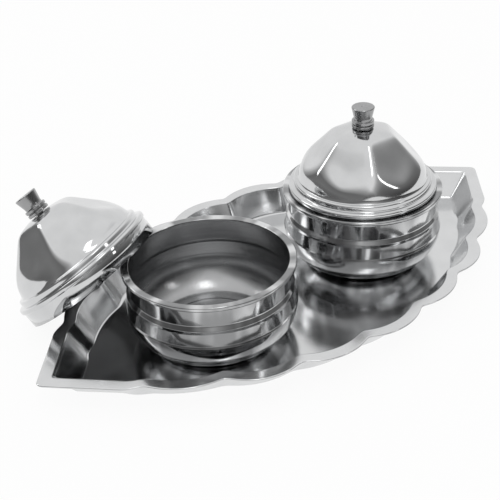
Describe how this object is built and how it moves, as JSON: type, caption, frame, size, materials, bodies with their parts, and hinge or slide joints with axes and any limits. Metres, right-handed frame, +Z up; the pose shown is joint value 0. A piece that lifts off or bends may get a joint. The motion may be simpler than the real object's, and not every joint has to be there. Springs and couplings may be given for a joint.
{
  "type": "kumkum holder plate",
  "caption": "Leaf-shaped scalloped steel tray that carries small round bowls with faceted domed lids and turned knobs, for ritual powders.",
  "frame": {"origin": "middle of the tray, on the underside that it stands on", "axes": "+X along the tray's long axis towards the closed bowl, +Z up, -Y the tray's front"},
  "size_m": [0.231, 0.1277, 0.0668],
  "materials": {
    "tray_steel": "mirror polished stainless sheet",
    "bowl_steel": "mirror polished outside, lathe brushed inside",
    "lid_steel": "mirror polished stainless sheet",
    "knob_steel": "turned",
    "screw_steel": "plain"
  },
  "bodies": {
    "tray": {"tray": "tray_steel"},
    "bowl_left": {"bowl_left": "bowl_steel"},
    "bowl_right": {"bowl_right": "bowl_steel"},
    "lid_left": {"lid_left": "lid_steel", "knob_left": "knob_steel", "knob_screw_left": "screw_steel"},
    "lid_right": {"lid_right": "lid_steel", "knob_right": "knob_steel", "knob_screw_right": "screw_steel"}
  },
  "joints": [
    {"name": "bowl_left_lift", "type": "slide", "parent": "tray", "child": "bowl_left", "axis": [0, 0, 1], "range_m": [0, 0.06]},
    {"name": "bowl_right_lift", "type": "slide", "parent": "tray", "child": "bowl_right", "axis": [0, 0, 1], "range_m": [0, 0.06]},
    {"name": "lid_left_lift", "type": "slide", "parent": "bowl_left", "child": "lid_left", "axis": [0, 0, 1], "range_m": [0, 0.05]},
    {"name": "lid_right_lift", "type": "slide", "parent": "bowl_right", "child": "lid_right", "axis": [0, 0, 1], "range_m": [0, 0.05]}
  ]
}
